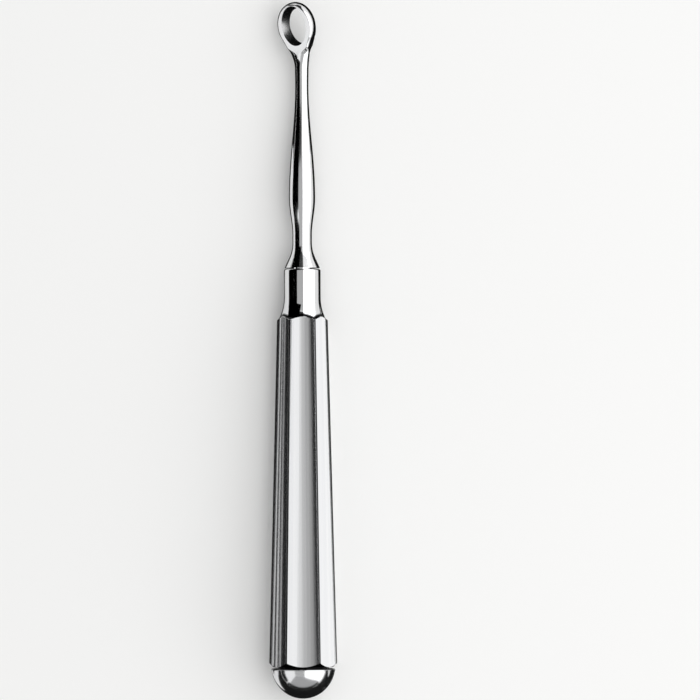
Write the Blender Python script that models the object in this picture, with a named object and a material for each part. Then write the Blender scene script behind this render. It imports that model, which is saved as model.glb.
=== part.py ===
"""Dermal curette with an open oval ring, a baluster shank and a hollow six-sided handle.

Each piece is modelled upright along its own +Z, butt at the bottom and ring at the top, with the
front towards -Y. One empty then lays the instrument on its lower flat, with the ring towards +Y.
"""

import math

import bmesh
import bpy
from mathutils import Vector

MM = 0.001
TAU = 2.0 * math.pi

# Handle: a tapered hexagon with one flat to the front and one to the back
handle_sides = 6
handle_length = 72.5 * MM
flats_at_butt = 12.60 * MM
flats_at_front = 9.46 * MM
handle_wall = 1.50 * MM
long_edge_round = 0.15 * MM
butt_land = 0.05 * MM

# Neck: the round end of the handle, which holds the shank
neck_diameter = 7.67 * MM
neck_length = 5.9 * MM
neck_corner_round = 0.35 * MM
cove_radius = 10.4 * MM
cove_length = 4.3 * MM
shoulder_length = 0.7 * MM
cavity_end_wall = 3.0 * MM

# Butt cap: a dome with a spigot in the turned mouth of the handle
dome_proud = 0.42 * MM
dome_height = 7.05 * MM
dome_rim_cut = 0.70 * MM
dome_rim_round = 0.35 * MM
mouth_wall = 0.70 * MM
mouth_relief = 0.60 * MM
spigot_length = 5.0 * MM
lead_in = 0.30 * MM

# Shank: a turned baluster on a tang
tang_diameter = 3.80 * MM
tang_length = 16.0 * MM
seat_inset = 0.14 * MM
seat_cone_angle = math.radians(24.2)
seat_fillet_radius = 7.75 * MM
seat_fillet_most = 0.9
waist_diameter = 4.06 * MM
waist_length = 1.5 * MM
waist_to_swell = 7.8 * MM
swell_diameter = 5.50 * MM
swell_to_throat = 23.8 * MM
throat_diameter = 2.76 * MM
throat_to_ring_neck = 3.1 * MM
ring_neck_diameter = 2.84 * MM
ring_neck_straight = 0.35 * MM

# Ring: an egg-shaped loop that leans forward and faces one corner of the handle
ring_lean = math.radians(15.0)
bend_radius = 8.8 * MM
bend_to_ring_centre = 8.0 * MM
ring_width = 8.45 * MM
ring_height = 10.0 * MM
ring_depth = 2.50 * MM
ring_side_round = 0.48 * MM
flank_angle = math.radians(58.0)
rim_face_below_oval = 1.2 * MM
rim_face_runout = 1.8 * MM
heel_depth = 0.50 * MM
rim_at_side = 1.35 * MM
rim_at_tip = 0.60 * MM
rim_at_base = 0.90 * MM
opening_taper = 0.50 * MM
opening_drop = 0.45 * MM

# Clearances between the pieces
seat_gap = 0.25 * MM
tang_clearance = 0.25 * MM
spigot_clearance = 0.25 * MM

# Facets and cutting
turned_steps = 48
corner_steps = 3
cove_steps = 7
dome_steps = 12
side_points = 15
shank_step_length = 1.2 * MM
fillet_steps = 5
ring_neck_steps = 14
ring_steps = 18
opening_points = 56
long_edge_steps = 2
cut_past = 1.0 * MM
merge_distance = 1e-7
bevel_above = math.radians(40.0)
sharp_above = math.radians(30.0)

# Heights along the instrument, from the lowest point of the dome
cap_height = dome_height - dome_rim_cut
handle_base = cap_height + seat_gap
hexagon_top = handle_base + handle_length
cove_bottom = hexagon_top + shoulder_length
neck_bottom = cove_bottom + cove_length
handle_top = neck_bottom + neck_length
seat_height = handle_top + seat_gap

# The ring, measured along its centre line from the middle of the bend
ring_turn = math.pi / handle_sides
half_bend = bend_radius * ring_lean / 2.0
flank_start = -half_bend - ring_neck_straight
oval_reach = ring_height / 2.0
oval_base = bend_to_ring_centre - oval_reach


def steel(name, shade, roughness):
    """Bare stainless steel of one grey shade."""
    material = bpy.data.materials.new(name)
    material.use_nodes = True
    shader = material.node_tree.nodes["Principled BSDF"]
    shader.inputs["Base Color"].default_value = (shade, shade, shade * 1.02, 1.0)
    shader.inputs["Metallic"].default_value = 1.0
    shader.inputs["Roughness"].default_value = roughness
    return material


def add_object(name, mesh, parent, material=None):
    """Link a mesh under a parent. An object with no material is a cutter."""
    item = bpy.data.objects.new(name, mesh)
    bpy.context.scene.collection.objects.link(item)
    item.parent = parent
    if material is None:
        item.hide_render = True
        item.display_type = "WIRE"
    else:
        mesh.materials.append(material)
    return item


def loft(name, rings, tip=None):
    """Mesh through closed rings of equal point count, with flat ends or a tip on the last."""
    mesh = bpy.data.meshes.new(name)
    shape = bmesh.new()
    loops = [[shape.verts.new(point) for point in ring] for ring in rings]
    count = len(rings[0])
    for lower, upper in zip(loops, loops[1:]):
        for i in range(count):
            j = (i + 1) % count
            shape.faces.new((lower[i], lower[j], upper[j], upper[i]))
    shape.faces.new(loops[0][::-1])
    if tip is None:
        shape.faces.new(loops[-1])
    else:
        point = shape.verts.new(tip)
        for i in range(count):
            shape.faces.new((loops[-1][i], loops[-1][(i + 1) % count], point))
    bmesh.ops.remove_doubles(shape, verts=shape.verts, dist=merge_distance)
    bmesh.ops.dissolve_degenerate(shape, edges=shape.edges, dist=merge_distance)
    bmesh.ops.recalc_face_normals(shape, faces=shape.faces)
    shape.to_mesh(mesh)
    shape.free()
    return mesh


def turned(name, profile, parent, material=None):
    """Solid of revolution about Z from (radius, height) points that run from top to bottom."""
    mesh = bpy.data.meshes.new(name)
    edges = [(i, i + 1) for i in range(len(profile) - 1)]
    mesh.from_pydata([(radius, 0.0, height) for radius, height in profile], edges, [])
    item = add_object(name, mesh, parent, material)
    screw = item.modifiers.new("Turn", "SCREW")
    screw.axis = "Z"
    screw.angle = TAU
    screw.steps = turned_steps
    screw.render_steps = turned_steps
    screw.use_merge_vertices = True
    screw.merge_threshold = merge_distance
    screw.use_smooth_shade = True
    return item


def plug(name, radius, bottom, top, parent):
    """Round cutter between two heights."""
    return turned(name, [(0.0, top), (radius, top), (radius, bottom), (0.0, bottom)], parent)


def cut(item, cutter, operation="DIFFERENCE"):
    """Boolean of one object with another."""
    boolean = item.modifiers.new(cutter.name, "BOOLEAN")
    boolean.operation = operation
    boolean.solver = "EXACT"
    boolean.object = cutter


def corner_arc(radius, height, size, start, end):
    """Quarter round of a given size about a centre, between two angles from +X."""
    points = []
    for i in range(corner_steps + 1):
        angle = start + (end - start) * i / corner_steps
        points.append((radius + size * math.cos(angle), height + size * math.sin(angle)))
    return points


def flat_distance(height):
    """Distance from the handle's axis to its flats at a height."""
    slope = (flats_at_front - flats_at_butt) / 2.0 / handle_length
    return flats_at_butt / 2.0 + slope * (height - handle_base)


def hexagon_ring(height, inset):
    """Corners of the handle's section at a height, with its flats moved in by a wall."""
    corner = (flat_distance(height) - inset) / math.cos(math.pi / handle_sides)
    angles = [math.pi / 2.0 + TAU * (i + 0.5) / handle_sides for i in range(handle_sides)]
    return [(corner * math.cos(angle), corner * math.sin(angle), height) for angle in angles]


def handle_envelope():
    """Turned outline of the handle: neck, cove, shoulder, then clear of the flats to the butt."""
    neck = neck_diameter / 2.0
    widest = max(flats_at_butt, flats_at_front) / 2.0 / math.cos(math.pi / handle_sides)
    beyond = widest + cut_past
    profile = [(0.0, handle_top)]
    profile += corner_arc(neck - neck_corner_round, handle_top - neck_corner_round,
                          neck_corner_round, math.pi / 2.0, 0.0)
    for i in range(cove_steps + 1):
        drop = cove_length * i / cove_steps
        profile.append((neck + cove_radius - math.sqrt(cove_radius ** 2 - drop ** 2),
                        neck_bottom - drop))
    cove_end = profile[-1][0]
    profile.append((beyond, cove_bottom - (beyond - cove_end)))
    butt_radius = flats_at_butt / 2.0 - butt_land
    profile += [(beyond, handle_base + beyond - butt_radius), (butt_radius, handle_base),
                (0.0, handle_base)]
    return profile


def make_handle(parent, material):
    """Hollow hexagon, its ends turned to the neck and to the butt chamfer."""
    outline = loft("handle_shell", [hexagon_ring(handle_base - cut_past, 0.0),
                                    hexagon_ring(handle_top + cut_past, 0.0)])
    shell = add_object("handle_shell", outline, parent, material)
    edges = shell.modifiers.new("Long edges", "BEVEL")
    edges.width = long_edge_round
    edges.segments = long_edge_steps
    edges.limit_method = "ANGLE"
    edges.angle_limit = bevel_above
    cut(shell, turned("handle_envelope", handle_envelope(), parent), "INTERSECT")

    cavity_end = hexagon_top - cavity_end_wall
    cavity = loft("handle_cavity", [hexagon_ring(handle_base - cut_past, handle_wall),
                                    hexagon_ring(cavity_end, handle_wall)])
    cut(shell, add_object("handle_cavity", cavity, parent))

    mouth_radius = flats_at_butt / 2.0 - mouth_wall
    cut(shell, plug("handle_mouth", mouth_radius, handle_base - cut_past,
                    handle_base + spigot_length + mouth_relief, parent))
    cut(shell, plug("neck_bore", tang_diameter / 2.0 + tang_clearance, cavity_end - cut_past,
                    handle_top + cut_past, parent))
    return shell


def cap_profile():
    """Spigot, rim and dome of the butt cap, from the spigot's end to the lowest point."""
    spigot = flats_at_butt / 2.0 - mouth_wall - spigot_clearance
    spigot_top = cap_height + spigot_length
    widest = flats_at_butt / 2.0 + dome_proud
    rim = widest * math.sqrt(1.0 - (dome_rim_cut / dome_height) ** 2)
    profile = [(0.0, spigot_top), (spigot - lead_in, spigot_top), (spigot, spigot_top - lead_in),
               (spigot, cap_height)]
    profile += corner_arc(rim - dome_rim_round, cap_height - dome_rim_round, dome_rim_round,
                          math.pi / 2.0, 0.0)
    lowest_round = math.acos(1.0 - (cap_height - dome_rim_round) / dome_height)
    for i in range(1, dome_steps + 1):
        angle = lowest_round * (1.0 - i / dome_steps)
        profile.append((widest * math.sin(angle), dome_height * (1.0 - math.cos(angle))))
    return profile


def make_cap(parent, material):
    """Domed butt cap."""
    return turned("butt_cap", cap_profile(), parent, material)


def eased_run(start, end):
    """Points between two (height, radius) stations on a half cosine, without the first."""
    (z0, r0), (z1, r1) = start, end
    steps = max(2, round(abs(z1 - z0) / shank_step_length))
    points = []
    for i in range(1, steps + 1):
        ease = 0.5 - 0.5 * math.cos(math.pi * i / steps)
        points.append((z0 + (z1 - z0) * i / steps, r0 + (r1 - r0) * ease))
    return points


def shank_stations():
    """(height, radius) of the turned part, from the tang's end to the neck of the ring."""
    tang = tang_diameter / 2.0
    tang_end = seat_height - tang_length
    seat = neck_diameter / 2.0 - seat_inset
    waist = waist_diameter / 2.0
    arc_rise = 1.0 - math.cos(seat_cone_angle)
    fillet = min(seat_fillet_radius, seat_fillet_most * (seat - waist) / arc_rise)
    cone_length = (seat - waist - fillet * arc_rise) / math.tan(seat_cone_angle)
    waist_bottom = seat_height + cone_length + fillet * math.sin(seat_cone_angle)

    stations = [(tang_end, tang - lead_in), (tang_end + lead_in, tang), (seat_height, tang),
                (seat_height, seat)]
    for i in range(fillet_steps + 1):
        angle = seat_cone_angle * (1.0 - i / fillet_steps)
        stations.append((waist_bottom - fillet * math.sin(angle),
                         waist + fillet * (1.0 - math.cos(angle))))
    z = waist_bottom + waist_length
    stations.append((z, waist))
    for length, diameter in ((waist_to_swell, swell_diameter), (swell_to_throat, throat_diameter),
                             (throat_to_ring_neck, ring_neck_diameter)):
        z += length
        stations += eased_run(stations[-1], (z, diameter / 2.0))
    return stations


def ring_point(bend_height, along, across, forward):
    """Point of the ring end: a distance along the bent centre line, across it and in front.

    bend_height is where the bend starts."""
    lean = min(max((along + half_bend) / bend_radius, 0.0), ring_lean)
    y = -bend_radius * (1.0 - math.cos(lean))
    z = bend_height + bend_radius * math.sin(lean)
    straight = along + half_bend - bend_radius * lean
    y -= straight * math.sin(lean) + forward * math.cos(lean)
    z += straight * math.cos(lean) - forward * math.sin(lean)
    return across, y, z


def oval_section(half_width, half_depth, side, heel=0.0):
    """Section with a flat front and back, closed by half an ellipse on each side."""
    flat = half_width - side
    points = []
    for direction in (1.0, -1.0):
        for i in range(side_points):
            angle = direction * math.pi * (i / (side_points - 1) - 0.5)
            forward = math.sin(angle)
            depth = half_depth if forward > 0.0 else half_depth + heel
            points.append((direction * (flat + side * math.cos(angle)), depth * forward))
    return points


def smooth_step(value, start, end):
    """0 before start, 1 after end, and smooth between."""
    t = min(max((value - start) / (end - start), 0.0), 1.0)
    return t * t * (3.0 - 2.0 * t)


def heel_at(along):
    """Extra depth at the back, where the shank runs on behind the ring's lower end."""
    rise = smooth_step(along, flank_start, oval_base)
    return heel_depth * rise * (1.0 - smooth_step(along, oval_base, bend_to_ring_centre))


def ring_neck_section(along, join, join_width, join_slope):
    """Section of the egg's pointed end, from the round neck to where the oval takes over."""
    neck = ring_neck_diameter / 2.0
    length = join - flank_start
    t = (along - flank_start) / length
    rise = t * t * (3.0 - 2.0 * t)
    bow = t * t * (t - 1.0)
    half_width = neck + (join_width - neck) * rise + join_slope * length * bow
    slope = ((join_width - neck) * 6.0 * t * (1.0 - t) / length
             + join_slope * (3.0 * t * t - 2.0 * t))
    face_start = oval_base - rim_face_below_oval
    face_full = face_start + rim_face_runout
    face = smooth_step(along, face_start, face_full)
    edge = ring_side_round * math.hypot(1.0, slope)
    half_depth = neck + (ring_depth / 2.0 - neck) * smooth_step(along, flank_start, face_full)
    return half_width, half_depth, half_width + (edge - half_width) * face


def ring_oval_section(angle):
    """Half width, half depth and side round at an angle round the oval from its lower end."""
    half_width = ring_width / 2.0 * math.sin(angle)
    across = oval_reach * math.sin(angle)
    normal = across / math.hypot(across, ring_width / 2.0 * math.cos(angle))
    from_tip = oval_reach * (1.0 + math.cos(angle))
    rounding = max(1.0 - from_tip / ring_side_round, 0.0)
    half_depth = ring_depth / 2.0 * math.sqrt(1.0 - rounding ** 2)
    return half_width, half_depth, min(half_width, ring_side_round / normal)


def make_ring_cutter(bend_height, parent):
    """Oval plug through the ring, widest at the sharp front rim."""
    top = bend_to_ring_centre + oval_reach - rim_at_tip
    bottom = oval_base + rim_at_base
    rings = []
    for forward in (-ring_depth / 2.0 - cut_past, ring_depth / 2.0 + cut_past):
        back_share = 0.5 - forward / ring_depth
        narrowing = opening_taper * back_share
        middle = (top + bottom) / 2.0 - opening_drop * back_share
        half_width = ring_width / 2.0 - rim_at_side - narrowing
        half_height = (top - bottom) / 2.0 - narrowing
        angles = [TAU * i / opening_points for i in range(opening_points)]
        rings.append([ring_point(bend_height, middle + half_height * math.sin(angle),
                                 half_width * math.cos(angle), forward) for angle in angles])
    cutter = add_object("ring_opening", loft("ring_opening", rings), parent)
    cutter.rotation_euler.z = -ring_turn
    return cutter


def make_ring_and_shank(parent, material):
    """Tang, baluster and ring in one loft along the centre line, with the ring's opening cut."""
    stations = shank_stations()
    rings = []
    for height, radius in stations:
        section = oval_section(radius, radius, radius)
        rings.append([(x, -forward, height) for x, forward in section])
    bend_height = stations[-1][0] + ring_neck_straight

    join = bend_to_ring_centre - oval_reach * math.cos(flank_angle)
    join_width = ring_width / 2.0 * math.sin(flank_angle)
    join_slope = ring_width / 2.0 / oval_reach / math.tan(flank_angle)
    sections = []
    for i in range(1, ring_neck_steps + 1):
        along = flank_start + (join - flank_start) * i / ring_neck_steps
        sections.append((along, ring_neck_section(along, join, join_width, join_slope)))
    for i in range(1, ring_steps):
        angle = flank_angle + (math.pi - flank_angle) * i / ring_steps
        along = bend_to_ring_centre - oval_reach * math.cos(angle)
        sections.append((along, ring_oval_section(angle)))
    for along, size in sections:
        rings.append([ring_point(bend_height, along, x, forward)
                      for x, forward in oval_section(*size, heel_at(along))])
    tip = ring_point(bend_height, bend_to_ring_centre + oval_reach, 0.0, 0.0)

    end = add_object("ring_and_shank", loft("ring_and_shank", rings, tip), parent, material)
    end.rotation_euler.z = -ring_turn
    cut(end, make_ring_cutter(bend_height, parent))
    return end


def rest_angle():
    """Angle between the axis and the floor, lying on the cap's rim and the front of a flat."""
    front_height = handle_top
    profile = handle_envelope()
    for (r0, z0), (r1, z1) in zip(profile, profile[1:]):
        inside = flat_distance(z0) - r0
        outside = r1 - flat_distance(z1)
        if inside > 0.0 and outside >= 0.0:
            front_height = z0 + (z1 - z0) * inside / (inside + outside)
            break
    front = flat_distance(front_height)
    supports = cap_profile() + [(flat_distance(handle_base), handle_base)]
    return max(math.atan2(radius - front, front_height - height) for radius, height in supports)


def lay_down(base, pieces):
    """Turn the instrument onto its lower flat and centre it over the origin, on z = 0."""
    base.rotation_euler.x = -(math.pi / 2.0 + rest_angle())
    bpy.context.view_layer.update()
    graph = bpy.context.evaluated_depsgraph_get()
    corners = []
    for piece in pieces:
        evaluated = piece.evaluated_get(graph)
        mesh = evaluated.to_mesh()
        corners += [evaluated.matrix_world @ vertex.co for vertex in mesh.vertices]
        evaluated.to_mesh_clear()
    lowest = Vector(min(corner[axis] for corner in corners) for axis in range(3))
    highest = Vector(max(corner[axis] for corner in corners) for axis in range(3))
    middle = (lowest + highest) / 2.0
    base.location = (-middle.x, -middle.y, -lowest.z)


def main():
    """Build the three pieces and lay them down."""
    for item in list(bpy.data.objects):
        bpy.data.objects.remove(item, do_unlink=True)
    base = bpy.data.objects.new("instrument", None)
    bpy.context.scene.collection.objects.link(base)
    pieces = [
        make_ring_and_shank(base, steel("forged_steel", 0.74, 0.18)),
        make_handle(base, steel("handle_steel", 0.70, 0.26)),
        make_cap(base, steel("cap_steel", 0.72, 0.20)),
    ]
    for piece in pieces:
        piece.data.shade_smooth()
        piece.data.set_sharp_from_angle(angle=sharp_above)
    lay_down(base, pieces)


main()
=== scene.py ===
import math

import bmesh
import bpy
import numpy as np
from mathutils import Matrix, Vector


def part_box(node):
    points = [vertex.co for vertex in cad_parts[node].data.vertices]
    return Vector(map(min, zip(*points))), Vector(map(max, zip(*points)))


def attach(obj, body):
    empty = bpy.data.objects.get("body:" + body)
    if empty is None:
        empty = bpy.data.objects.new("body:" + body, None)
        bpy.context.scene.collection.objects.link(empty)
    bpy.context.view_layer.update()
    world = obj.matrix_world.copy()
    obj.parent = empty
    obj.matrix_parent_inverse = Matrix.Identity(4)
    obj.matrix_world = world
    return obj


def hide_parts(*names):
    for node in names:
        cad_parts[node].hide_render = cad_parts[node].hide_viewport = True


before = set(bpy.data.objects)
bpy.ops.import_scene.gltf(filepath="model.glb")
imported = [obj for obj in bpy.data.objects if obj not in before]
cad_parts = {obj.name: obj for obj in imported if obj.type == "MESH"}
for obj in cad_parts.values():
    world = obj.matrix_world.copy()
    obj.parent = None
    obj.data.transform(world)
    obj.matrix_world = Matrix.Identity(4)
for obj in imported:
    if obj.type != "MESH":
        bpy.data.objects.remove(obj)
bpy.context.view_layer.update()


# Handle shell
# A tapered hexagonal tube of stainless steel. Its ends are turned round: a chamfer at the butt and
# a neck with a cove at the front, so that each flat ends in a curved edge. The flats are linished
# lengthwise and then buffed, which leaves them a little crowned.

MM = 0.001
SIDES = 6
HANDLE_LENGTH = 72.5 * MM
FLATS_AT_BUTT = 12.60 * MM
FLATS_AT_FRONT = 9.46 * MM
HANDLE_WALL = 1.50 * MM
EDGE_RADIUS = 0.50 * MM
FLAT_CROWN = 0.06 * MM
BUTT_LAND = 0.05 * MM
NECK_RADIUS = 3.835 * MM
NECK_LENGTH = 5.9 * MM
NECK_CORNER = 0.35 * MM
COVE_RADIUS = 10.4 * MM
COVE_LENGTH = 4.3 * MM
SHOULDER_LENGTH = 0.7 * MM
CAVITY_END_WALL = 3.0 * MM
BORE_RADIUS = 2.15 * MM
MOUTH_WALL = 0.70 * MM
MOUTH_DEPTH = 5.6 * MM

FLAT_POINTS = 23
CORNER_POINTS = 9
CHAMFER_ROWS = 5
FLAT_ROWS = 71
SHOULDER_ROWS = 4
COVE_ROWS = 24
NECK_ROWS = 8
NECK_CORNER_ROWS = 8
EDGE_SEARCH = 2.0 * MM
JUST_PAST = 0.001 * MM
# Painted shade, in this near-black colour, lies on the butt chamfer and on the handle up to the
# first distance past the flats' front ends, fading out by the second. The cap's painted shade uses
# the colour too.
PAINTED_SHADE_FULL = 0.60 * MM
PAINTED_SHADE_END = 0.80 * MM
PAINTED_SHADE_COLOUR = "#101011"
GRID_WELD = 0.0001 * MM

DOME_PROUD = 0.42 * MM
DOME_HEIGHT = 7.05 * MM
DOME_RIM_CUT = 0.70 * MM
DOME_RIM_ROUND = 0.35 * MM
SEAM = 0.25 * MM

cap_height = DOME_HEIGHT - DOME_RIM_CUT
handle_base = cap_height + SEAM
hexagon_top = handle_base + HANDLE_LENGTH
cove_bottom = hexagon_top + SHOULDER_LENGTH
neck_bottom = cove_bottom + COVE_LENGTH
handle_top = neck_bottom + NECK_LENGTH
mouth_radius = FLATS_AT_BUTT / 2.0 - MOUTH_WALL
dome_radius = FLATS_AT_BUTT / 2.0 + DOME_PROUD
rim_radius = dome_radius * math.sqrt(1.0 - (DOME_RIM_CUT / DOME_HEIGHT) ** 2)
butt_radius = FLATS_AT_BUTT / 2.0 - BUTT_LAND
taper = (FLATS_AT_FRONT - FLATS_AT_BUTT) / 2.0 / HANDLE_LENGTH


def flat_distance(z):
    """Axis to flat: a straight line from half the butt's width to half the front's."""
    return FLATS_AT_BUTT / 2.0 + taper * (z - handle_base)


def front_radius(z):
    """Turned front end: neck, then a cove that is an arc tangent to it, then a 45 degree cone."""
    drop = np.clip(neck_bottom - z, 0.0, COVE_LENGTH)
    cove = NECK_RADIUS + COVE_RADIUS - np.sqrt(COVE_RADIUS ** 2 - drop ** 2)
    return cove + np.maximum(cove_bottom - z, 0.0)


def butt_chamfer(z):
    """Turned butt end: a cone that grows by as much as the height does."""
    return butt_radius + (z - handle_base)


def lay(points):
    """Upright points turned on their side, leaning on the dome's rim and the front of a flat.

    Along the axis becomes +Y, the front becomes +Z, and the lean is a turn about X."""
    x, y, z = np.moveaxis(np.asarray(points, float), -1, 0)
    cos, sin = math.cos(rest_lean), math.sin(rest_lean)
    return np.stack([x, butt_y - y * sin + z * cos, axis_z - y * cos - z * sin], -1)


def bisect(gap, low, high, steps=48):
    """Heights at which a gap changes sign, by halving whole arrays."""
    low, high = low.copy(), high.copy()
    for _ in range(steps):
        middle = (low + high) / 2.0
        inside = gap(middle) < 0.0
        low, high = np.where(inside, middle, low), np.where(inside, high, middle)
    return (low + high) / 2.0


flat_end = float(bisect(lambda z: flat_distance(z) - front_radius(z),
                        np.array(cove_bottom - MM), np.array(neck_bottom)))
rest_lean = math.atan2(rim_radius - flat_distance(flat_end),
                       flat_end - (cap_height - DOME_RIM_ROUND))
butt_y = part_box("butt_cap")[0].y
axis_z = rim_radius * math.cos(rest_lean) + (cap_height - DOME_RIM_ROUND) * math.sin(rest_lean)

# Columns round the hexagon: points along each flat, then points round the corner after it
flat_u = -np.cos(np.linspace(0.0, math.pi, FLAT_POINTS))
arc_a = np.radians(np.linspace(-30.0, 30.0, CORNER_POINTS))[1:-1]
side_normals = np.radians(90.0 + 60.0 * np.arange(SIDES))
column_normal = np.repeat(side_normals, len(flat_u) + len(arc_a))
column_u = np.tile(np.concatenate([flat_u, np.zeros(len(arc_a))]), SIDES)
column_arc = np.tile(np.concatenate([np.zeros(len(flat_u)), arc_a]), SIDES)
on_arc = np.tile(np.concatenate([np.zeros(len(flat_u), bool), np.ones(len(arc_a), bool)]), SIDES)


def smooth_step(value, start, end):
    """0 before start, 1 after end, cubic between."""
    t = np.clip((value - start) / (end - start), 0.0, 1.0)
    return t * t * (3.0 - 2.0 * t)


def hexagon(z):
    """Outline of the handle at a height for each column.

    A flat point lies at its distance, less a parabola that is nothing in the middle of the flat;
    a corner point lies on an arc between the two flats."""
    distance = flat_distance(z)
    half = (distance - EDGE_RADIUS) * math.tan(math.pi / SIDES)
    out = distance - FLAT_CROWN * column_u ** 2
    across = column_u * half
    flat_x = out * np.cos(column_normal) - across * np.sin(column_normal)
    flat_y = out * np.sin(column_normal) + across * np.cos(column_normal)
    corner = column_normal + math.pi / SIDES
    centre = (distance - EDGE_RADIUS) / math.cos(math.pi / SIDES)
    arc_x = centre * np.cos(corner) + (EDGE_RADIUS - FLAT_CROWN) * np.cos(corner + column_arc)
    arc_y = centre * np.sin(corner) + (EDGE_RADIUS - FLAT_CROWN) * np.sin(corner + column_arc)
    return np.where(on_arc, arc_x, flat_x), np.where(on_arc, arc_y, flat_y)


def reach(z):
    """Distance of the outline from the axis."""
    return np.hypot(*hexagon(z))


columns = len(column_normal)
full = np.full(columns, 1.0)
front_edge = bisect(lambda z: reach(z) - front_radius(z), full * (hexagon_top - EDGE_SEARCH),
                    full * neck_bottom)
butt_edge = bisect(lambda z: butt_chamfer(z) - reach(z), full * handle_base,
                   full * (handle_base + EDGE_SEARCH))
front_x, front_y = hexagon(front_edge)
butt_x, butt_y_out = hexagon(butt_edge)
front_angle = np.arctan2(front_y, front_x)
butt_angle = np.arctan2(butt_y_out, butt_x)


def round_row(radius, z, angle):
    """One row of points at a radius, a height and an angle for each column."""
    radius, z = radius + np.zeros(columns), z + np.zeros(columns)
    return np.stack([radius * np.cos(angle), radius * np.sin(angle), z], -1)


# Rows along the outside, from the mouth's rim over the chamfer, flats, shoulder, cove and neck
rows = [round_row(mouth_radius, handle_base, butt_angle)]
for t in np.linspace(0.0, 1.0, CHAMFER_ROWS):
    z = handle_base + (butt_edge - handle_base) * t
    rows.append(round_row(butt_chamfer(z), z, butt_angle))
for t in np.linspace(0.0, 1.0, FLAT_ROWS + 1)[1:]:
    z = butt_edge + (front_edge - butt_edge) * t
    rows.append(np.stack([*hexagon(z), z], -1))
cove_start = np.maximum(front_edge, cove_bottom)
for t in np.linspace(0.0, 1.0, SHOULDER_ROWS + 1)[1:]:
    z = front_edge + (cove_start - front_edge) * t
    rows.append(round_row(front_radius(z), z, front_angle))
for t in np.linspace(0.0, 1.0, COVE_ROWS + 1)[1:]:
    z = cove_start + (neck_bottom - cove_start) * t
    rows.append(round_row(front_radius(z), z, front_angle))
for t in np.linspace(0.0, 1.0, NECK_ROWS + 1)[1:]:
    z = neck_bottom + (handle_top - NECK_CORNER - neck_bottom) * t
    rows.append(round_row(NECK_RADIUS, z, front_angle))
for a in np.linspace(0.0, math.pi / 2.0, NECK_CORNER_ROWS + 1)[1:]:
    rows.append(round_row(NECK_RADIUS - NECK_CORNER * (1.0 - math.cos(a)),
                          handle_top - NECK_CORNER * (1.0 - math.sin(a)), front_angle))

# Rows back along the inside: the neck's bore, the cavity and the wider mouth
cavity_end = hexagon_top - CAVITY_END_WALL
mouth_top = handle_base + MOUTH_DEPTH
rows.append(round_row(BORE_RADIUS, handle_top, front_angle))
rows.append(round_row(BORE_RADIUS, cavity_end, front_angle))
for z in (cavity_end, mouth_top):
    x, y = hexagon(full * z)
    scale = (flat_distance(z) - HANDLE_WALL) / flat_distance(z)
    rows.append(np.stack([x * scale, y * scale, full * z], -1))
rows.append(round_row(mouth_radius, mouth_top, butt_angle))
shell_rows = np.array(rows)


def weld(mesh, distance):
    """Joins points closer than a distance, drops faces without area and points that only divide
    an edge, and turns all faces out."""
    shape = bmesh.new()
    shape.from_mesh(mesh)
    bmesh.ops.remove_doubles(shape, verts=shape.verts, dist=distance)
    bmesh.ops.dissolve_degenerate(shape, edges=shape.edges, dist=distance)
    dividing = [vertex for vertex in shape.verts if len(vertex.link_edges) == 2]
    bmesh.ops.dissolve_verts(shape, verts=dividing)
    bmesh.ops.recalc_face_normals(shape, faces=shape.faces)
    shape.to_mesh(mesh)
    shape.free()


def skin(name, grid, around=None, along=None, ring=False, marks=None):
    """Mesh over rows of points. Each row closes on itself, and the last row meets the first one
    if ring is set; otherwise the two end rows are closed with a fan. Both coordinates go into a
    UV map in millimetres, and marks names values for all rows and columns."""
    count, width = grid.shape[:2]
    points = grid.reshape(-1, 3)
    i = np.arange(count if ring else count - 1)[:, None]
    j = np.arange(width)[None, :]
    after, turn = (i + 1) % count, (j + 1) % width
    faces = np.stack([i * width + j, i * width + turn, after * width + turn,
                      after * width + j], -1).reshape(-1, 4).tolist()
    if not ring:
        points = np.concatenate([points, [grid[0].mean(0), grid[-1].mean(0)]])
        last = (count - 1) * width
        ends = np.arange(width)
        start_fan = np.stack([np.roll(ends, -1), ends, np.full(width, count * width)], -1)
        end_fan = np.stack([last + ends, last + np.roll(ends, -1),
                            np.full(width, count * width + 1)], -1)
        faces += start_fan.tolist() + end_fan.tolist()
    mesh = bpy.data.meshes.new(name)
    mesh.from_pydata(points.tolist(), [], faces)
    if around is not None:
        left, right = around[:-1], around[1:]
        u = np.stack([left, right, right, left], -1)[None] + 0.0 * i[..., None]
        v0 = np.broadcast_to(along[i[:, 0]][:, None], (len(i), width))
        v1 = np.broadcast_to(along[after[:, 0]][:, None], (len(i), width))
        v = np.stack([v0, v0, v1, v1], -1)
        corners = np.stack([u, v], -1).reshape(-1, 2) / MM
        if not ring:
            corners = np.concatenate([corners, np.zeros((6 * width, 2))])
        layer = mesh.uv_layers.new(name="Surface")
        layer.data.foreach_set("uv", corners.ravel())
    for mark, value in (marks or {}).items():
        values = np.zeros(len(points), np.float32)
        values[:count * width] = np.broadcast_to(value, (count, width)).ravel()
        mesh.attributes.new(mark, "FLOAT", "POINT").data.foreach_set("value", values)
    weld(mesh, GRID_WELD)
    return mesh


def finish_piece(name, mesh, material, node_name, crease=28.0):
    """Object at the origin that takes the place of a CAD node, smooth except at its creases."""
    mesh.shade_smooth()
    mesh.set_sharp_from_angle(angle=math.radians(crease))
    mesh.materials.clear()
    mesh.materials.append(material)
    piece = bpy.data.objects.new(name, mesh)
    bpy.context.scene.collection.objects.link(piece)
    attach(piece, "root")
    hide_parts(node_name)
    return piece


def linear(hex_colour):
    """sRGB hex to linear RGBA."""
    value = np.array([int(hex_colour[k:k + 2], 16) for k in (1, 3, 5)]) / 255.0
    low, high = value / 12.92, ((value + 0.055) / 1.055) ** 2.4
    return (*np.where(value <= 0.04045, low, high), 1.0)


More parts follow.
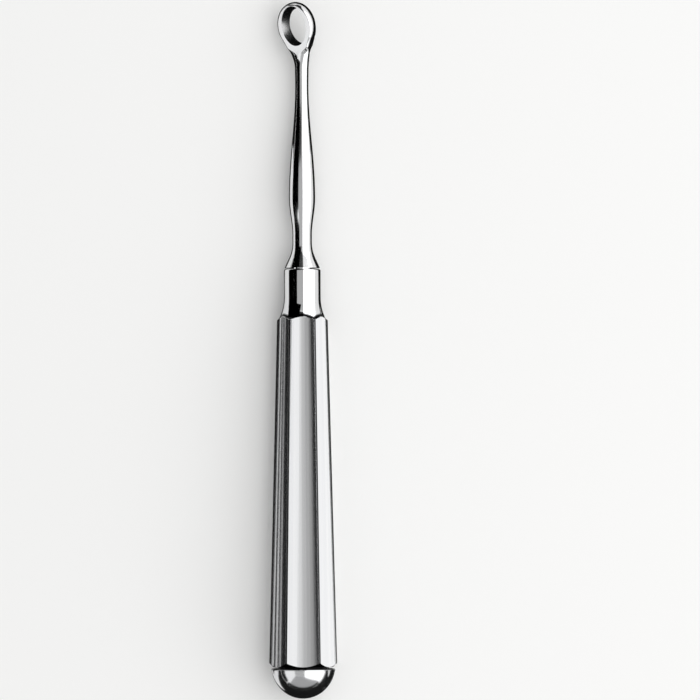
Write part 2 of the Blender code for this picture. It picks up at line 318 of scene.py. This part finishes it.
def node(tree, kind, settings=None, links=None):
    """Adds one node, sets its properties and sockets, and links sockets to it. A number is a
    socket's place, which a mix node needs, because it has several sockets of one name."""
    made = tree.nodes.new(kind)
    for key, value in (settings or {}).items():
        if isinstance(key, int) or key in made.inputs:
            made.inputs[key].default_value = value
        else:
            setattr(made, key, value)
    for key, source in (links or {}).items():
        tree.links.new(source, made.inputs[key])
    return made


def new_material(name):
    """Empty node material and its output node."""
    material = bpy.data.materials.new(name)
    material.use_nodes = True
    material.node_tree.nodes.clear()
    output = material.node_tree.nodes.new("ShaderNodeOutputMaterial")
    return material, material.node_tree, output


# Stainless tube, linished along its length and then buffed. Long shallow streaks from the belt,
# about 1.3 mm apart, bend the reflections, and a finer grain softens them. Three marks change it:
# the long edges are duller and painted darker, a painted shade that draws dark lines along them
# (corner); the lathe leaves the round ends smoother (turned); and a near-black painted shade lies
# on the butt chamfer and just past the flats' front ends, where shade falls.
handle_steel, tree, output = new_material("linished_stainless_tube")
surface = node(tree, "ShaderNodeUVMap", {"uv_map": "Surface"})
streak_map = node(tree, "ShaderNodeMapping", {"Scale": (0.80, 0.006, 1.0)},
                  {"Vector": surface.outputs["UV"]})
streaks = node(tree, "ShaderNodeTexNoise", {"Scale": 1.0, "Detail": 2.0, "Roughness": 0.45},
               {"Vector": streak_map.outputs["Vector"]})
grain_map = node(tree, "ShaderNodeMapping", {"Scale": (5.0, 0.05, 1.0)},
                 {"Vector": surface.outputs["UV"]})
grain = node(tree, "ShaderNodeTexNoise", {"Scale": 1.0, "Detail": 3.0, "Roughness": 0.6},
             {"Vector": grain_map.outputs["Vector"]})
streak_bump = node(tree, "ShaderNodeBump", {"Strength": 1.0, "Distance": 0.012 * MM},
                   {"Height": streaks.outputs["Fac"]})
grain_bump = node(tree, "ShaderNodeBump", {"Strength": 1.0, "Distance": 0.0012 * MM},
                  {"Height": grain.outputs["Fac"], "Normal": streak_bump.outputs["Normal"]})
rough = node(tree, "ShaderNodeMapRange", {"To Min": 0.06, "To Max": 0.10},
             {"Value": grain.outputs["Fac"]})
tone = node(tree, "ShaderNodeMix",
            {"data_type": "RGBA", 6: linear("#DCDDDF"), 7: linear("#EAEAEA")},
            {"Factor": streaks.outputs["Fac"]})
corner = node(tree, "ShaderNodeAttribute", {"attribute_name": "corner"})
turned = node(tree, "ShaderNodeAttribute", {"attribute_name": "turned"})
# The long edges are painted darker, a painted shade that draws dark lines along them, and made
# duller.
tone = node(tree, "ShaderNodeMix", {"data_type": "RGBA", 7: linear("#343536")},
            {"Factor": corner.outputs["Fac"], 6: tone.outputs[2]})
rough = node(tree, "ShaderNodeMix", {"data_type": "FLOAT", 3: 0.20},
             {"Factor": corner.outputs["Fac"], 2: rough.outputs["Result"]})
rough = node(tree, "ShaderNodeMix", {"data_type": "FLOAT", 3: 0.06},
             {"Factor": turned.outputs["Fac"], 2: rough.outputs[0]})
# Painted shade: near black where this mark is set, on the butt chamfer and just past the flats'
# front ends.
painted_shade = node(tree, "ShaderNodeAttribute", {"attribute_name": "painted_shade"})
tone = node(tree, "ShaderNodeMix", {"data_type": "RGBA", 7: linear(PAINTED_SHADE_COLOUR)},
            {"Factor": painted_shade.outputs["Fac"], 6: tone.outputs[2]})
shader = node(tree, "ShaderNodeBsdfPrincipled", {"Metallic": 1.0},
              {"Base Color": tone.outputs[2], "Roughness": rough.outputs[0],
               "Normal": grain_bump.outputs["Normal"]})
tree.links.new(shader.outputs["BSDF"], output.inputs["Surface"])

# Lengths round the middle of the handle and along it, for the surface map, and the marks. The
# chamfer's last row is also the flats' first one, so it is marked as flat.
middle_x, middle_y = hexagon(full * (handle_base + hexagon_top) / 2.0)
steps = np.hypot(np.diff(middle_x, append=middle_x[:1]), np.diff(middle_y, append=middle_y[:1]))
handle_around = np.concatenate([[0.0], np.cumsum(steps)])
handle_along = shell_rows[..., 2].mean(1)
row = np.arange(len(shell_rows))[:, None]
past_edge = np.where(row < CHAMFER_ROWS, 0.0, shell_rows[..., 2] - front_edge)
is_turned = ((row < CHAMFER_ROWS) | (past_edge > JUST_PAST)).astype(float)
# Mask of the painted shade: full on the butt chamfer and past the flats' front ends, fading out
# between the two distances.
painted_shade_mask = is_turned * (1.0 - smooth_step(past_edge, PAINTED_SHADE_FULL, PAINTED_SHADE_END))
shell = skin("handle_shell_polished", lay(shell_rows), handle_around, handle_along, ring=True,
             marks={"corner": on_arc * (1.0 - is_turned), "turned": is_turned,
                    "painted_shade": painted_shade_mask})
finish_piece("handle_shell_polished", shell, handle_steel, "handle_shell",
             crease=18.0)


# Butt cap
# A domed plug of stainless steel, turned on a lathe and soldered into the tube's mouth. Its rim
# stands a little proud of the flats, and a fine groove is left between the rim and the tube.

SPIGOT_LENGTH = 5.0 * MM
SPIGOT_FIT = 0.25 * MM
LEAD_IN = 0.30 * MM
TURNED_COLUMNS = 144
RIM_POINTS = 9
DOME_ROWS = 40
# Painted shade behind the rim: none lower than the first distance below the rim's top, full above
# the second.
SHADE_STARTS_BELOW_RIM = 0.45 * MM
SHADE_FULL_BELOW_RIM = 0.20 * MM

spigot_radius = mouth_radius - SPIGOT_FIT
spigot_top = cap_height + SPIGOT_LENGTH
rim_corner = np.linspace(math.pi / 2.0, 0.0, RIM_POINTS)
lowest_round = math.acos(1.0 - (cap_height - DOME_RIM_ROUND) / DOME_HEIGHT)
dome_angle = lowest_round * (1.0 - np.arange(1, DOME_ROWS) / DOME_ROWS)
profile = np.concatenate([
    [(spigot_radius - LEAD_IN, spigot_top), (spigot_radius, spigot_top - LEAD_IN),
     (spigot_radius, cap_height)],
    np.stack([rim_radius - DOME_RIM_ROUND + DOME_RIM_ROUND * np.cos(rim_corner),
              cap_height - DOME_RIM_ROUND + DOME_RIM_ROUND * np.sin(rim_corner)], -1),
    np.stack([dome_radius * np.sin(dome_angle), DOME_HEIGHT * (1.0 - np.cos(dome_angle))], -1),
])


def revolve(profile, columns):
    """Rows of points: each (radius, height) of a profile carried round the axis."""
    angle = 2.0 * math.pi * np.arange(columns) / columns
    radius, height = profile[:, :1], profile[:, 1:]
    return np.stack([radius * np.cos(angle), radius * np.sin(angle),
                     height + 0.0 * angle], -1)


def lengths(profile):
    """Distance along a profile from its first point."""
    return np.concatenate([[0.0], np.cumsum(np.hypot(*np.diff(profile, axis=0).T))])


# Stainless turned on a lathe. Fine rings, about 0.3 mm apart, draw the highlights out a little,
# and the corner behind the rim is painted near black, a painted shade.
cap_steel, tree, output = new_material("turned_stainless")
surface = node(tree, "ShaderNodeUVMap", {"uv_map": "Surface"})
lathe_map = node(tree, "ShaderNodeMapping", {"Scale": (0.03, 3.0, 1.0)},
                 {"Vector": surface.outputs["UV"]})
lathe = node(tree, "ShaderNodeTexNoise", {"Scale": 1.0, "Detail": 2.0, "Roughness": 0.5},
             {"Vector": lathe_map.outputs["Vector"]})
lathe_bump = node(tree, "ShaderNodeBump", {"Strength": 1.0, "Distance": 0.0015 * MM},
                  {"Height": lathe.outputs["Fac"]})
rough = node(tree, "ShaderNodeMapRange", {"To Min": 0.12, "To Max": 0.18},
             {"Value": lathe.outputs["Fac"]})
tone = node(tree, "ShaderNodeMix",
            {"data_type": "RGBA", 6: linear("#DEDFE1"), 7: linear("#E9E9EA")},
            {"Factor": lathe.outputs["Fac"]})
# Painted shade: near black in the corner behind the rim.
painted_shade = node(tree, "ShaderNodeAttribute", {"attribute_name": "painted_shade"})
tone = node(tree, "ShaderNodeMix", {"data_type": "RGBA", 7: linear(PAINTED_SHADE_COLOUR)},
            {"Factor": painted_shade.outputs["Fac"], 6: tone.outputs[2]})
shader = node(tree, "ShaderNodeBsdfPrincipled", {"Metallic": 1.0},
              {"Base Color": tone.outputs[2], "Roughness": rough.outputs["Result"],
               "Normal": lathe_bump.outputs["Normal"]})
tree.links.new(shader.outputs["BSDF"], output.inputs["Surface"])

behind_rim = smooth_step(profile[:, 1:], cap_height - SHADE_STARTS_BELOW_RIM,
                         cap_height - SHADE_FULL_BELOW_RIM)
cap_around = 2.0 * math.pi * dome_radius * np.arange(TURNED_COLUMNS + 1) / TURNED_COLUMNS
cap = skin("butt_cap_polished", lay(revolve(profile, TURNED_COLUMNS)), cap_around,
           lengths(profile), marks={"painted_shade": behind_rim})
finish_piece("butt_cap_polished", cap, cap_steel, "butt_cap")


# Ring and shank
# One forging in stainless steel: a tang in the neck's bore, a turned baluster that swells for the
# fingertips, and an egg-shaped ring. The ring leans forward, faces a corner of the handle, and is
# ground flat in front, where its inner rim is the cutting edge.

TANG_RADIUS = 1.90 * MM
TANG_LENGTH = 16.0 * MM
SEAT_INSET = 0.14 * MM
SEAT_CONE = math.radians(24.2)
SEAT_FILLET = 7.75 * MM
WAIST_RADIUS = 2.03 * MM
WAIST_LENGTH = 1.5 * MM
SHANK_RUNS = ((7.8 * MM, 2.75 * MM), (23.8 * MM, 1.38 * MM), (3.1 * MM, 1.42 * MM))
RING_NECK_RADIUS = 1.42 * MM
RING_NECK_STRAIGHT = 0.35 * MM
RING_LEAN = math.radians(15.0)
BEND_RADIUS = 8.8 * MM
BEND_TO_CENTRE = 8.0 * MM
RING_WIDTH = 8.45 * MM
RING_HEIGHT = 10.0 * MM
RING_DEPTH = 2.50 * MM
RING_SIDE_ROUND = 0.48 * MM
FLANK_ANGLE = math.radians(58.0)
FACE_BELOW_OVAL = 1.2 * MM
FACE_RUNOUT = 1.8 * MM
HEEL_DEPTH = 0.50 * MM
RIM_AT_SIDE = 1.35 * MM
RIM_AT_TIP = 0.60 * MM
RIM_AT_BASE = 0.90 * MM
OPENING_TAPER = 0.50 * MM
OPENING_DROP = 0.45 * MM

CONE_ROWS = 5
FILLET_POINTS = 13
SHANK_STEP = 0.35 * MM
LEAST_STEPS = 8
SIDE_POINTS = 33
FACE_POINTS = 19
RING_NECK_ROWS = 70
OVAL_ROWS = 80
TIP_ROW_SHARE = 0.3
OPENING_ROWS = 19
OPENING_COLUMNS = 144
CUT_PAST = 1.0 * MM
CUT_WELD = 0.002 * MM

half_bend = BEND_RADIUS * RING_LEAN / 2.0
flank_start = -half_bend - RING_NECK_STRAIGHT
oval_reach = RING_HEIGHT / 2.0
oval_base = BEND_TO_CENTRE - oval_reach
ring_turn = -math.pi / SIDES

# The turned part as (height, radius), from the tang's end to the neck of the ring
seat_height = handle_top + SEAM
seat_radius = NECK_RADIUS - SEAT_INSET
arc_rise = 1.0 - math.cos(SEAT_CONE)
cone_length = (seat_radius - WAIST_RADIUS - SEAT_FILLET * arc_rise) / math.tan(SEAT_CONE)
waist_bottom = seat_height + cone_length + SEAT_FILLET * math.sin(SEAT_CONE)
fillet = SEAT_CONE * (1.0 - np.linspace(0.0, 1.0, FILLET_POINTS))
cone = np.linspace(0.0, 1.0, CONE_ROWS + 1)[:-1, None]
fillet_part = np.stack([waist_bottom - SEAT_FILLET * np.sin(fillet),
                        WAIST_RADIUS + SEAT_FILLET * (1.0 - np.cos(fillet))], -1)
seat_point = np.array([seat_height, seat_radius])
tang_end = seat_height - TANG_LENGTH
stations = [np.array([(tang_end, TANG_RADIUS - LEAD_IN), (tang_end + LEAD_IN, TANG_RADIUS),
                      (seat_height, TANG_RADIUS)]),
            seat_point + (fillet_part[0] - seat_point) * cone, fillet_part]
start = np.array([waist_bottom + WAIST_LENGTH, WAIST_RADIUS])
stations.append(start[None])
for length, radius in SHANK_RUNS:
    t = np.linspace(0.0, 1.0, max(LEAST_STEPS, round(length / SHANK_STEP)))[1:]
    run_radius = start[1] + (radius - start[1]) * (0.5 - 0.5 * np.cos(math.pi * t))
    stations.append(np.stack([start[0] + length * t, run_radius], -1))
    start = stations[-1][-1]
stations = np.concatenate(stations)
bend_height = start[0] + RING_NECK_STRAIGHT

# Columns round a section: half an ellipse on each side, joined by a flat front and a flat back
side_a = np.linspace(-math.pi / 2.0, math.pi / 2.0, SIDE_POINTS)
flat_c = np.cos(np.linspace(0.0, math.pi, FACE_POINTS))[1:-1]
column_c = np.concatenate([np.ones(SIDE_POINTS), flat_c, -np.ones(SIDE_POINTS), -flat_c])
column_cos = np.concatenate([np.cos(side_a), 0.0 * flat_c, -np.cos(side_a), 0.0 * flat_c])
column_sin = np.concatenate([np.sin(side_a), 0.0 * flat_c + 1.0, np.sin(-side_a),
                             0.0 * flat_c - 1.0])


def ring_place(along, across, forward):
    """Place of a point near the ring: along a centre line that is straight, then bent through the
    lean on an arc, then straight again, across it, and forward of it."""
    lean = np.clip((along + half_bend) / BEND_RADIUS, 0.0, RING_LEAN)
    straight = along + half_bend - BEND_RADIUS * lean
    y = -BEND_RADIUS * (1.0 - np.cos(lean)) - straight * np.sin(lean) - forward * np.cos(lean)
    z = (bend_height + BEND_RADIUS * np.sin(lean) + straight * np.cos(lean)
         - forward * np.sin(lean))
    x = across + 0.0 * y
    cos, sin = math.cos(ring_turn), math.sin(ring_turn)
    return np.stack([x * cos - y * sin, x * sin + y * cos, z], -1)


def section_points(half_width, half_depth, side, heel):
    """Across and forward for each row and column: half width less side is flat, and side is the
    half ellipse's reach; the heel deepens the back."""
    half_width, half_depth, side, heel = (v[:, None] for v in (half_width, half_depth, side, heel))
    across = column_c * (half_width - side) + column_cos * side
    depth = np.where(column_sin > 0.0, half_depth, half_depth + heel)
    return across, column_sin * depth


join = BEND_TO_CENTRE - oval_reach * math.cos(FLANK_ANGLE)
join_width = RING_WIDTH / 2.0 * math.sin(FLANK_ANGLE)
join_slope = RING_WIDTH / 2.0 / oval_reach / math.tan(FLANK_ANGLE)

# The egg's pointed end: a cubic from the round neck's width to the oval's width and slope
neck_along = flank_start + (join - flank_start) * np.linspace(0.0, 1.0, RING_NECK_ROWS + 1)[1:]
t = (neck_along - flank_start) / (join - flank_start)
neck_half_width = (RING_NECK_RADIUS + (join_width - RING_NECK_RADIUS) * t * t * (3.0 - 2.0 * t)
                   + join_slope * (join - flank_start) * t * t * (t - 1.0))
slope = ((join_width - RING_NECK_RADIUS) * 6.0 * t * (1.0 - t) / (join - flank_start)
         + join_slope * (3.0 * t * t - 2.0 * t))
face_start = oval_base - FACE_BELOW_OVAL
face_full = face_start + FACE_RUNOUT
face = smooth_step(neck_along, face_start, face_full)
neck_half_depth = RING_NECK_RADIUS + ((RING_DEPTH / 2.0 - RING_NECK_RADIUS)
                                      * smooth_step(neck_along, flank_start, face_full))
edge = RING_SIDE_ROUND * np.hypot(1.0, slope)
neck_side = neck_half_width + (edge - neck_half_width) * face

# The oval: half an ellipse of points from the flanks to the tip, its depth rounded off at the tip
oval_angle = (FLANK_ANGLE
              + (math.pi - FLANK_ANGLE) * np.linspace(0.0, 1.0, OVAL_ROWS + 1)[1:-1])
oval_along = BEND_TO_CENTRE - oval_reach * np.cos(oval_angle)
oval_half_width = RING_WIDTH / 2.0 * np.sin(oval_angle)
oval_normal = (oval_reach * np.sin(oval_angle)
               / np.hypot(oval_reach * np.sin(oval_angle), RING_WIDTH / 2.0 * np.cos(oval_angle)))
from_tip = oval_reach * (1.0 + np.cos(oval_angle))
rounding = np.maximum(1.0 - from_tip / RING_SIDE_ROUND, 0.0)
oval_half_depth = RING_DEPTH / 2.0 * np.sqrt(1.0 - rounding ** 2)
oval_side = np.minimum(oval_half_width, RING_SIDE_ROUND / oval_normal)

ring_along = np.concatenate([neck_along, oval_along])
heel = (HEEL_DEPTH * smooth_step(ring_along, flank_start, oval_base)
        * (1.0 - smooth_step(ring_along, oval_base, BEND_TO_CENTRE)))
across, forward = section_points(np.concatenate([neck_half_width, oval_half_width]),
                                 np.concatenate([neck_half_depth, oval_half_depth]),
                                 np.concatenate([neck_side, oval_side]), heel)
ring_rows = ring_place(ring_along[:, None], across, forward)

zero = np.zeros(len(stations))
across, forward = section_points(stations[:, 1], stations[:, 1], stations[:, 1], zero)
cos, sin = math.cos(ring_turn), math.sin(ring_turn)
shank_rows = np.stack([across * cos + forward * sin, across * sin - forward * cos,
                       stations[:, :1] + 0.0 * across], -1)
tip = ring_place(np.array([BEND_TO_CENTRE + oval_reach]), np.array([0.0]), np.array([0.0]))
body_rows = np.concatenate([shank_rows, ring_rows,
                            tip[None] + (ring_rows[-1:] - tip[None]) * TIP_ROW_SHARE])

# The opening: an oval plug, narrower and lower at the back, wider in front at the cutting rim
top = BEND_TO_CENTRE + oval_reach - RIM_AT_TIP
bottom = oval_base + RIM_AT_BASE
through = np.linspace(-RING_DEPTH / 2.0 - CUT_PAST, RING_DEPTH / 2.0 + CUT_PAST,
                      OPENING_ROWS)[:, None]
back_share = 0.5 - through / RING_DEPTH
opening_angle = 2.0 * math.pi * np.arange(OPENING_COLUMNS) / OPENING_COLUMNS
narrowing = OPENING_TAPER * back_share
opening_along = ((top + bottom) / 2.0 - OPENING_DROP * back_share
                 + ((top - bottom) / 2.0 - narrowing) * np.sin(opening_angle))
opening_across = (RING_WIDTH / 2.0 - RIM_AT_SIDE - narrowing) * np.cos(opening_angle)
opening_rows = ring_place(opening_along, opening_across, through + 0.0 * opening_across)

# Forged stainless, mirror polished by hand. Faint buffing marks run along the shank and break up
# the reflections only a little, so it is the brightest of the three steels.
ring_steel, tree, output = new_material("mirror_polished_stainless")
surface = node(tree, "ShaderNodeTexCoord")
buff_map = node(tree, "ShaderNodeMapping", {"Scale": (1500.0, 60.0, 1500.0)},
                {"Vector": surface.outputs["Object"]})
buffing = node(tree, "ShaderNodeTexNoise", {"Scale": 1.0, "Detail": 3.0, "Roughness": 0.55},
               {"Vector": buff_map.outputs["Vector"]})
buff_bump = node(tree, "ShaderNodeBump", {"Strength": 1.0, "Distance": 0.0012 * MM},
                 {"Height": buffing.outputs["Fac"]})
rough = node(tree, "ShaderNodeMapRange", {"To Min": 0.09, "To Max": 0.15},
             {"Value": buffing.outputs["Fac"]})
tone = node(tree, "ShaderNodeMix",
            {"data_type": "RGBA", 6: linear("#E2E3E5"), 7: linear("#EDEDED")},
            {"Factor": buffing.outputs["Fac"]})
shader = node(tree, "ShaderNodeBsdfPrincipled", {"Metallic": 1.0},
              {"Base Color": tone.outputs[2], "Roughness": rough.outputs["Result"],
               "Normal": buff_bump.outputs["Normal"]})
tree.links.new(shader.outputs["BSDF"], output.inputs["Surface"])

# The opening is cut through the forging, and what the cut leaves without area is welded away
body = bpy.data.objects.new("forging", skin("forging", lay(body_rows)))
opening = bpy.data.objects.new("opening", skin("opening", lay(opening_rows)))
for item in (body, opening):
    bpy.context.scene.collection.objects.link(item)
cut = body.modifiers.new("Opening", "BOOLEAN")
cut.operation, cut.solver, cut.object = "DIFFERENCE", "EXACT", opening
cut_mesh = bpy.data.meshes.new_from_object(
    body.evaluated_get(bpy.context.evaluated_depsgraph_get()))
for item in (body, opening):
    bpy.data.objects.remove(item, do_unlink=True)
weld(cut_mesh, CUT_WELD)
finish_piece("ring_and_shank_polished", cut_mesh, ring_steel, "ring_and_shank")


# Floor
# A plain pale sheet that the instrument lies on.

FLOOR_HALF = 3.0

floor_mesh = bpy.data.meshes.new("floor")
floor_mesh.from_pydata([(-FLOOR_HALF, -FLOOR_HALF, 0.0), (FLOOR_HALF, -FLOOR_HALF, 0.0),
                        (FLOOR_HALF, FLOOR_HALF, 0.0), (-FLOOR_HALF, FLOOR_HALF, 0.0)], [],
                       [(0, 1, 2, 3)])
floor = bpy.data.objects.new("floor", floor_mesh)
bpy.context.scene.collection.objects.link(floor)
paper, tree, output = new_material("matt_white_paper")
shader = node(tree, "ShaderNodeBsdfPrincipled",
              {"Base Color": linear("#F7F7F6"), "Roughness": 0.9, "Specular IOR Level": 0.0})
tree.links.new(shader.outputs["BSDF"], output.inputs["Surface"])
floor_mesh.materials.append(paper)


# Light
# White surroundings, one large soft lamp above on the right, and dark, grey and light cards that
# only reflections see. Polished steel shows what is round it, so the cards give it its bands.

SURROUNDINGS_LIGHT = 0.62
LAMP_SIZE = (1.45, 1.95)
LAMP_POWER = 9.0
LAMP_OFFSET = 0.636

# The camera and reflections see the surroundings as plain white. They light matt things at a lower
# level, to which the lamp adds.
world = bpy.data.worlds.new("surroundings")
bpy.context.scene.world = world
world.use_nodes = True
tree = world.node_tree
tree.nodes.clear()
path = node(tree, "ShaderNodeLightPath")
seen = node(tree, "ShaderNodeMath", {"operation": "MAXIMUM"},
            {0: path.outputs["Is Camera Ray"], 1: path.outputs["Is Glossy Ray"]})
seen = node(tree, "ShaderNodeMath", {"operation": "MAXIMUM"},
            {0: seen.outputs[0], 1: path.outputs["Is Transmission Ray"]})
level = node(tree, "ShaderNodeMapRange", {"To Min": SURROUNDINGS_LIGHT, "To Max": 1.0},
             {"Value": seen.outputs[0]})
background = node(tree, "ShaderNodeBackground", {"Color": (1.0, 1.0, 1.0, 1.0)},
                  {"Strength": level.outputs["Result"]})
output = node(tree, "ShaderNodeOutputWorld", None, {"Surface": background.outputs["Background"]})

lamp_data = bpy.data.lights.new("soft_box", "AREA")
lamp_data.shape = "RECTANGLE"
lamp_data.size, lamp_data.size_y = LAMP_SIZE
lamp_data.energy = LAMP_POWER
lamp = bpy.data.objects.new("soft_box", lamp_data)
bpy.context.scene.collection.objects.link(lamp)
lamp.location = (LAMP_OFFSET, 0.0, LAMP_OFFSET)
lamp.rotation_euler = (0.0, math.radians(45.0), 0.0)
lamp.visible_camera = False


def card(name, corners, shade):
    """Flat card of one shade that only reflections see."""
    mesh = bpy.data.meshes.new(name)
    mesh.from_pydata(corners, [], [(0, 1, 2, 3)])
    item = bpy.data.objects.new(name, mesh)
    bpy.context.scene.collection.objects.link(item)
    material, tree, output = new_material(name)
    shader = node(tree, "ShaderNodeEmission", {"Color": (1.0, 1.0, 1.0, 1.0), "Strength": shade})
    tree.links.new(shader.outputs["Emission"], output.inputs["Surface"])
    mesh.materials.append(material)
    item.visible_camera = item.visible_diffuse = item.visible_shadow = False
    item.visible_transmission = item.visible_volume_scatter = False


def flat_card(name, x0, x1, y0, y1, z, shade):
    """Level card between two corners."""
    card(name, [(x0, y0, z), (x1, y0, z), (x1, y1, z), (x0, y1, z)], shade)


def wall_card(name, start, end, z0, z1, shade):
    """Upright card between two points of the floor."""
    card(name, [(*start, z0), (*end, z0), (*end, z1), (*start, z1)], shade)


BUTT_Y = -0.070
FLATS_FRONT_Y = 0.0085
SIDE_SEEN_AT_BUTT = 22.3 * MM
SIDE_SEEN_AT_FRONT = 16.4 * MM


def slanted_card(name, side, near, far, z, shade):
    """Level card beside the handle that narrows with it. Its edges are shares of the distance at
    which the middle of a side flat shows the floor."""
    butt, front = side * SIDE_SEEN_AT_BUTT, side * SIDE_SEEN_AT_FRONT
    card(name, [(butt * far, BUTT_Y, z), (butt * near, BUTT_Y, z),
                (front * near, FLATS_FRONT_Y, z), (front * far, FLATS_FRONT_Y, z)], shade)


# Over the part: a wide grey card dims what faces up. Close over the handle, strips that narrow
# with it give the upper flat a light left side, a grey right side and a dark line at each edge.
# STRIPS has the left edge and the shade of each strip, and its last pair ends the row. The edges
# are measured from the middle, as shares of OVER_AT_BUTT and OVER_AT_FRONT.
OVER_HEIGHT = 0.04
OVER_FRONT_Y = 0.011
OVER_AT_BUTT = 5.3 * MM
OVER_AT_FRONT = 4.3 * MM
STRIPS = ((-1.9, 0.02), (-1.25, 1.10), (-0.35, 0.80), (-0.10, 0.62), (0.15, 0.50), (0.40, 0.40),
          (0.65, 0.32), (0.82, 0.02), (1.5, 0.0))

flat_card("card_overhead", -0.75, 0.18, -0.9, 0.9, 1.2, 0.50)
for k, ((left, shade), (right, _)) in enumerate(zip(STRIPS[:-1], STRIPS[1:])):
    card(f"card_over_handle_{k}", [(OVER_AT_BUTT * left, BUTT_Y, OVER_HEIGHT),
                                   (OVER_AT_BUTT * right, BUTT_Y, OVER_HEIGHT),
                                   (OVER_AT_FRONT * right, OVER_FRONT_Y, OVER_HEIGHT),
                                   (OVER_AT_FRONT * left, OVER_FRONT_Y, OVER_HEIGHT)], shade)

# To the left: dark walls, near and far, and a dark card on the floor. The steel shows them as dark
# bands on its left side.
wall_card("card_left_low", (-0.15, 0.005), (-0.15, 0.10), 0.0, 0.064, 0.0)
wall_card("card_left_high", (-0.15, 0.014), (-0.15, 0.10), 0.064, 0.245, 0.0)
wall_card("card_left_far", (-1.0, -0.25), (-1.0, -0.045), 0.02, 1.6, 0.01)
flat_card("card_left_of_neck", -0.15, -0.085, 0.005, 0.045, 0.0001, 0.01)

# Behind the butt: walls that are dark below and grey above, which the dome reflects
wall_card("card_butt_low", (-0.9, -1.0), (0.9, -1.0), 0.0, 0.2, 0.01)
wall_card("card_butt", (-0.75, -1.0), (0.9, -1.0), 0.2, 1.3, 0.42)
wall_card("card_left_butt", (-1.0, -1.0), (-1.0, -0.25), 0.0, 0.30, 0.005)

# Beyond the tip: dark walls, which the ring reflects
wall_card("card_ring", (-0.15, 0.10), (-0.03, 0.10), 0.0, 0.245, 0.0)
wall_card("card_ring_low", (-0.03, 0.10), (0.01, 0.10), 0.0, 0.125, 0.05)

# On the floor beside the neck, shank and ring: dark, which draws their outlines. Cards on the floor
# are 0.1 mm above it. The light stripes and the card right of the dome lie higher, over others.
flat_card("card_by_shank", -0.0075, 0.0095, 0.004, 0.0105, 0.0001, 0.01)
flat_card("card_right_of_shank", -0.0075, 0.0135, 0.0105, 0.044, 0.0001, 0.01)
flat_card("card_by_upper_shank", -0.0600, 0.0220, 0.044, 0.060, 0.0001, 0.01)
flat_card("card_by_ring", -0.0600, 0.0235, 0.060, 0.085, 0.0001, 0.005)

# On the floor beside the handle: dark on the left with three light stripes, which the left flat
# shows as lines, and on the right a dark outline and then a bright card for the right flat
slanted_card("card_left_flat", -1.0, 0.55, 1.6, 0.0001, 0.02)
slanted_card("card_left_stripe_1", -1.0, 0.82, 0.87, 0.0002, 0.70)
slanted_card("card_left_stripe_2", -1.0, 0.94, 0.99, 0.0002, 0.70)
slanted_card("card_left_stripe_3", -1.0, 1.06, 1.11, 0.0002, 0.55)
slanted_card("card_right_outline", 1.0, 0.55, 0.81, 0.0001, 0.02)
slanted_card("card_right_flat", 1.0, 0.81, 2.2, 0.0001, 1.15)

# On the floor round the dome and behind it: dark, for its outline
flat_card("card_by_dome", -0.0085, 0.0095, -0.0775, -0.066, 0.0001, 0.01)
flat_card("card_right_of_dome", 0.0095, 0.024, -0.0775, -0.0675, 0.0003, 0.01)
flat_card("card_behind_butt", -0.35, 0.30, -0.9, -0.0775, 0.0001, 0.01)


# Camera
# Straight above, as in the drawing, with a long lens so that the sides stay nearly parallel. The
# instrument's axis is a little left of the image's middle and leans a little.

CAMERA_HEIGHT = 1.5
MEASURED_HEIGHT = 0.0065
MM_PER_PIXEL = 0.2095
IMAGE_SIZE = 700
SENSOR = 36.0
AXIS_PIXEL = 302.4
ROLL = math.radians(-0.156)

camera_data = bpy.data.cameras.new("camera")
camera_data.sensor_width = SENSOR
camera_data.lens = (SENSOR * (CAMERA_HEIGHT - MEASURED_HEIGHT)
                    / (IMAGE_SIZE * MM_PER_PIXEL * MM))
camera_data.clip_start, camera_data.clip_end = 0.05, 20.0
camera = bpy.data.objects.new("camera", camera_data)
bpy.context.scene.collection.objects.link(camera)
camera.location = ((IMAGE_SIZE / 2.0 - AXIS_PIXEL) * MM_PER_PIXEL * MM, 0.0, CAMERA_HEIGHT)
camera.rotation_euler = (0.0, 0.0, ROLL)
bpy.context.scene.camera = camera

scene = bpy.context.scene
scene.view_settings.view_transform = "Standard"
